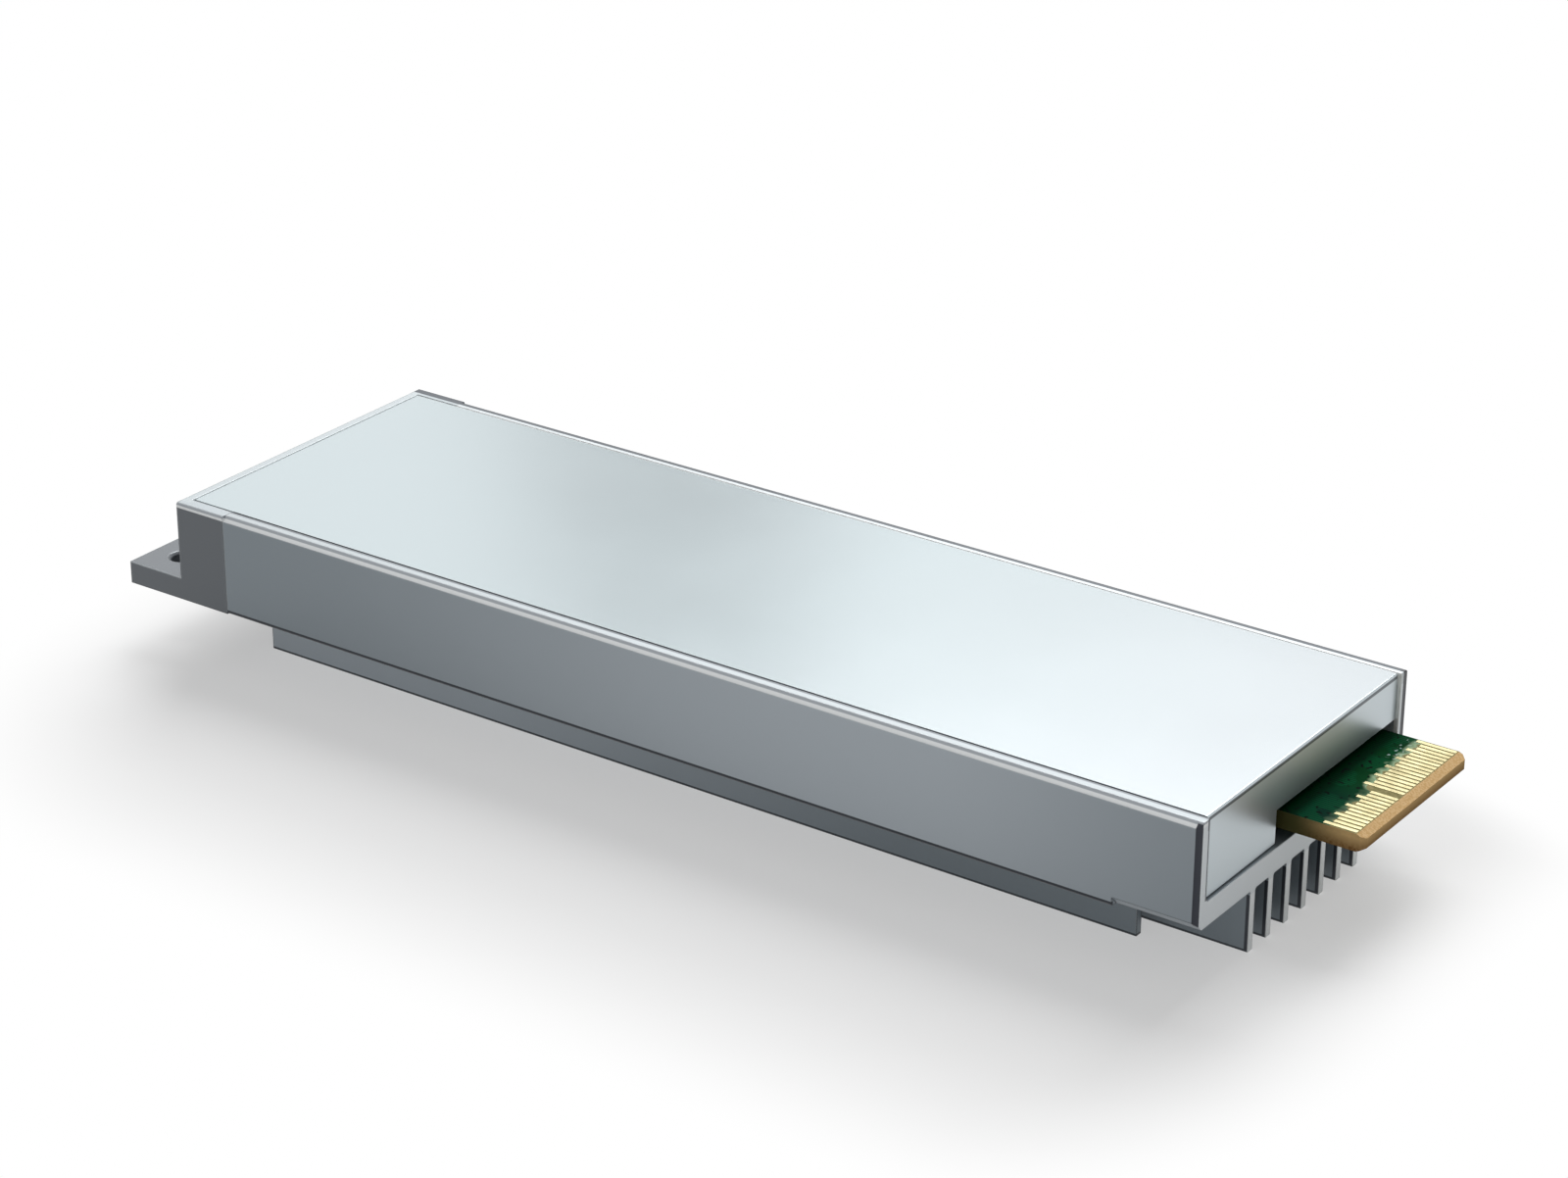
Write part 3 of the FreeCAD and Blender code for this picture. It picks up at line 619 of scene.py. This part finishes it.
# The bevelled tip and the milled edges: bare tan laminate, with a painted highlight on the upper
# part of the edges and painted shade in the slot.
edge_speckle = 0.3
bevel_colour = blend_colour(tree, spots(tree, 0.00018, 0.35, 0.65), linear(222, 182, 126),
                            linear(238, 202, 150))
face = blend_colour(tree, past(tree, along, bevel_start), face, bevel_colour)
surface = add_node(tree, "ShaderNodeNewGeometry")
lean = add_node(tree, "ShaderNodeSeparateXYZ")
wire(tree, surface.outputs["Normal"], lean.inputs[0])
flat = math_node(tree, "ABSOLUTE", lean.outputs["Z"])
upward = ramp(tree, coordinate(tree, "Z"), board_low.z + 0.0002, board_high.z - 0.0004)
edge_colour = blend_colour(tree, upward, linear(140, 100, 58), linear(240, 200, 138))
speckled = math_node(tree, "MULTIPLY", spots(tree, 0.00022, 0.35, 0.65), edge_speckle)
edge_colour = blend_colour(tree, speckled, edge_colour, linear(214, 176, 124))
toward_tip = ramp(tree, along, tray_high.x + 0.0005, contact_high.x, kind="SMOOTHSTEP")
edge_colour = blend_colour(tree, toward_tip, linear(72, 70, 40), edge_colour)
upright = math_node(tree, "SUBTRACT", 1.0, past(tree, flat, 0.5, softness=0.1))
wire(tree, blend_colour(tree, upright, face, edge_colour), shader.inputs["Base Color"])
wire(tree, level_range(tree, bare, 0.45, 0.65), shader.inputs["Roughness"])
shader.inputs["Specular IOR Level"].default_value = 0.008
trace_bump = add_node(tree, "ShaderNodeBump")
trace_bump.inputs["Strength"].default_value = 0.25
trace_bump.inputs["Distance"].default_value = 0.00003
wire(tree, trace, trace_bump.inputs["Height"])
wire(tree, trace_bump.outputs["Normal"], shader.inputs["Normal"])
give_finish("circuit_board", board_finish)

# Contacts: gold plated copper bars on both faces of the tongue, 28 to a face in two groups. Every
# third one is a ground contact and reaches further in. Their inner ends are round.
contact_width = 0.00040
ground_every = 3
ground_extra = 0.0006
contact_rise = 0.00004
gold_finish, tree, shader = new_finish("contact_gold", 1.0)
rubbed = spots(tree, 0.0009, 0.35, 0.70, 2.0)
wire(tree, blend_colour(tree, rubbed, linear(158, 149, 110), linear(176, 167, 130)),
     shader.inputs["Base Color"])
wire(tree, level_range(tree, rubbed, 0.26, 0.40), shader.inputs["Roughness"])


end_round = 0.49
rim_ease = 0.6


def contact_bar():
    """The shortest bar, along X with its outer end at 0: a thin plate, round at the inner end."""
    bpy.ops.object.select_all(action="DESELECT")
    bpy.ops.mesh.primitive_cube_add(size=1.0)
    bar = bpy.context.object
    bpy.ops.object.mode_set(mode="EDIT")
    bpy.ops.mesh.select_all(action="SELECT")
    bpy.ops.transform.resize(value=(first_length, contact_width, contact_rise),
                             center_override=(0.0, 0.0, 0.0))
    bpy.ops.transform.translate(value=(-first_length / 2, 0.0, contact_rise / 2))
    mesh = bmesh.from_edit_mesh(bar.data)
    for edge in mesh.edges:
        ends = [corner.co for corner in edge.verts]
        inner = all(end.x < -first_length / 2 for end in ends)
        edge.select_set(inner and abs(ends[0].z - ends[1].z) > contact_rise / 2)
    mesh.select_flush_mode()
    bmesh.update_edit_mesh(bar.data)
    bpy.ops.mesh.bevel(offset=contact_width * end_round, segments=5, affect="EDGES")
    bpy.ops.object.mode_set(mode="OBJECT")
    ease = bar.modifiers.new("eased_rim", "BEVEL")
    ease.width = contact_rise * rim_ease
    ease.segments = 2
    ease.limit_method = "ANGLE"
    bpy.ops.object.modifier_apply(modifier=ease.name)
    bar.data.materials.append(gold_finish)
    return bar


def contact_row(name, bar, level, side):
    """Copies of the bar for one face, at the level of the board's face; side is 1 above, -1 below."""
    bpy.ops.object.select_all(action="DESELECT")
    for number in range(first_group + second_group):
        across = contact_low.y + contact_width / 2 + number * contact_pitch
        longer = 0.0
        if number >= first_group:
            across += group_gap
            longer += second_length - first_length
        if number % ground_every == 0:
            longer += ground_extra
        copy = bar.copy()
        copy.data = bar.data.copy()
        bpy.context.scene.collection.objects.link(copy)
        for corner in copy.data.vertices:
            if corner.co.x < -first_length / 2:
                corner.co.x -= longer
            corner.co = Vector((contact_high.x + corner.co.x, across + corner.co.y,
                                level + side * corner.co.z))
        copy.select_set(True)
    bpy.context.view_layer.objects.active = copy
    bpy.ops.object.join()
    row = bpy.context.object
    row.name = name
    bpy.ops.object.mode_set(mode="EDIT")
    bpy.ops.mesh.select_all(action="SELECT")
    bpy.ops.mesh.normals_make_consistent(inside=False)
    bpy.ops.object.mode_set(mode="OBJECT")
    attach(row, "root")
    return row


first_bar = contact_bar()
contacts_above = contact_row("gold_contacts_top", first_bar, board_high.z, 1)
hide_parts("contact_fingers_top")
contacts_below = contact_row("gold_contacts_bottom", first_bar, board_low.z, -1)
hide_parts("contact_fingers_bottom")
bpy.data.objects.remove(first_bar)

# Packages: flash memory, buffer memory, controller, supply chip and start-up memory. Each is a
# black moulded body on a green substrate, soldered to a face of the board.
substrate_rise = 0.0003
board_middle = (board_low.z + board_high.z) / 2
board_half = (board_high.z - board_low.z) / 2
chip_finish, tree, shader = new_finish("chip_mould", 0.0)
height = coordinate(tree, "Z")
from_middle = math_node(tree, "ABSOLUTE", math_node(tree, "SUBTRACT", height, board_middle))
moulded = past(tree, from_middle, board_half + substrate_rise, 0.00002)
mould = blend_colour(tree, spots(tree, 0.00012, 0.35, 0.65), linear(26, 26, 28), linear(38, 38, 40))
wire(tree, blend_colour(tree, moulded, linear(24, 74, 48), mould), shader.inputs["Base Color"])
wire(tree, level_range(tree, moulded, 0.40, 0.62), shader.inputs["Roughness"])
packages = ["controller_chip", "dram_chip_1", "dram_chip_2", "power_chip", "boot_flash"]
packages += ["nand_%s_%d" % (face_name, number)
             for face_name in ("top", "bottom") for number in range(1, 5)]
for package in packages:
    give_finish(package, chip_finish)

# Thermal pads: soft silicone sheets filled with grey powder, pressed between packages and case.
pad_finish, tree, shader = new_finish("pad_silicone", 0.0)
filler = spots(tree, 0.00020, 0.40, 0.62, 1.0)
wire(tree, blend_colour(tree, filler, linear(120, 132, 148), linear(140, 150, 164)),
     shader.inputs["Base Color"])
wire(tree, level_range(tree, filler, 0.70, 0.85), shader.inputs["Roughness"])
for pad in ("thermal_pad_upper", "thermal_pad_lower", "controller_pad"):
    give_finish(pad, pad_finish)

# Energy-store capacitors: ochre moulded bodies in a row, with a tinned terminal folded round each
# end.
terminal_length = 0.0012
capacitor_low, capacitor_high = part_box("holdup_capacitor_1")
next_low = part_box("holdup_capacitor_2")[0]
capacitor_pitch = next_low.x - capacitor_low.x
capacitor_length = capacitor_high.x - capacitor_low.x
capacitor_finish, tree, shader = new_finish("capacitor_mould", 0.0)
along = math_node(tree, "SUBTRACT", coordinate(tree, "X"), capacitor_low.x - 0.0001)
in_turn = math_node(tree, "MODULO", along, capacitor_pitch)
body = between(tree, in_turn, terminal_length, capacitor_length - terminal_length)
mould = blend_colour(tree, spots(tree, 0.00015, 0.35, 0.65), linear(176, 132, 50),
                     linear(190, 146, 62))
wire(tree, blend_colour(tree, body, linear(196, 198, 200), mould), shader.inputs["Base Color"])
wire(tree, level_range(tree, body, 0.35, 0.60), shader.inputs["Roughness"])
for number in range(1, 9):
    give_finish("holdup_capacitor_%d" % number, capacitor_finish)

# Power inductors: pressed blocks of dark ferrite powder.
ferrite_finish, tree, shader = new_finish("inductor_ferrite", 0.0)
pressed = spots(tree, 0.00016, 0.35, 0.65, 2.0)
wire(tree, blend_colour(tree, pressed, linear(52, 52, 56), linear(74, 74, 78)),
     shader.inputs["Base Color"])
wire(tree, level_range(tree, pressed, 0.55, 0.75), shader.inputs["Roughness"])
for number in range(1, 4):
    give_finish("power_inductor_%d" % number, ferrite_finish)

# Ceramic capacitors: two rows of tan chips that lie along the board, tinned at both ends.
ceramic_low, ceramic_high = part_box("ceramic_capacitors")
ceramic_length = 0.0010
ceramic_body = 0.0005
row_pitch = ceramic_high.x - ceramic_low.x - ceramic_length
ceramic_finish, tree, shader = new_finish("ceramic_body", 0.0)
along = math_node(tree, "SUBTRACT", coordinate(tree, "X"), ceramic_low.x + ceramic_length / 2)
off_centre = math_node(tree, "PINGPONG", along, row_pitch / 2)
tan_part = math_node(tree, "SUBTRACT", 1.0, past(tree, off_centre, ceramic_body / 2))
fired = blend_colour(tree, spots(tree, 0.00010, 0.35, 0.65), linear(150, 118, 82),
                     linear(170, 138, 100))
wire(tree, blend_colour(tree, tan_part, linear(196, 198, 200), fired), shader.inputs["Base Color"])
wire(tree, level_range(tree, tan_part, 0.35, 0.55), shader.inputs["Roughness"])
give_finish("ceramic_capacitors", ceramic_finish)

# Clock crystal: a plated metal lid on a ceramic base.
crystal_finish, tree, shader = new_finish("crystal_can", 0.0)
lid = past(tree, coordinate(tree, "Z"), board_high.z + substrate_rise, 0.00002)
lid_tone = blend_colour(tree, spots(tree, 0.0004, 0.30, 0.70), linear(186, 184, 172),
                        linear(204, 202, 192))
wire(tree, blend_colour(tree, lid, linear(96, 92, 88), lid_tone), shader.inputs["Base Color"])
wire(tree, level_range(tree, lid, 0.60, 0.32), shader.inputs["Roughness"])
wire(tree, level_range(tree, lid, 0.0, 0.8), shader.inputs["Metallic"])
give_finish("clock_crystal", crystal_finish)

# Status lights: two small lamps with a yellow phosphor cap on a white body, and a clear plastic
# light guide that carries them to the windows in the end wall.
led_low, led_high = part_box("status_led_1")
led_finish, tree, shader = new_finish("led_body", 0.0)
cap = past(tree, coordinate(tree, "Z"), (led_low.z + led_high.z) / 2, 0.00002)
phosphor = blend_colour(tree, spots(tree, 0.00010, 0.35, 0.65), linear(222, 196, 92),
                        linear(236, 214, 120))
wire(tree, blend_colour(tree, cap, linear(224, 224, 218), phosphor), shader.inputs["Base Color"])
wire(tree, level_range(tree, cap, 0.50, 0.30), shader.inputs["Roughness"])
for number in (1, 2):
    give_finish("status_led_%d" % number, led_finish)
guide_finish, tree, shader = new_finish("light_guide", 0.0)
frost = spots(tree, 0.0016, 0.30, 0.70, 2.0)
wire(tree, blend_colour(tree, frost, linear(226, 232, 232), linear(240, 244, 244)),
     shader.inputs["Base Color"])
wire(tree, level_range(tree, frost, 0.18, 0.35), shader.inputs["Roughness"])
shader.inputs["Transmission Weight"].default_value = 0.4
shader.inputs["IOR"].default_value = 1.49
give_finish("light_pipe", guide_finish)

# Screws: countersunk zinc-plated steel with a six-sided socket, four from below through the case
# and two in the bracket's lugs.
screw_finish, tree, shader = new_finish("screw_steel", 0.85)
place = add_node(tree, "ShaderNodeTexCoord")
plate_grain = place_group(tree, blast_grain, Grain_Size=0.00012, Cloud_Size=0.0015)
wire(tree, place.outputs["Object"], plate_grain.inputs["Vector"])
edge_node = place_group(tree, edge_highlight)
plated = blend_colour(tree, plate_grain.outputs["Cloud"], linear(150, 152, 156),
                      linear(182, 184, 188))
wire(tree, blend_colour(tree, edge_node.outputs["Edge"], plated, linear(220, 222, 224)),
     shader.inputs["Base Color"])
wire(tree, level_range(tree, plate_grain.outputs["Grain"], 0.24, 0.42), shader.inputs["Roughness"])
wire(tree, edge_node.outputs["Normal"], shader.inputs["Normal"])
give_finish("cover_screws", screw_finish)
give_finish("bracket_screws", screw_finish)
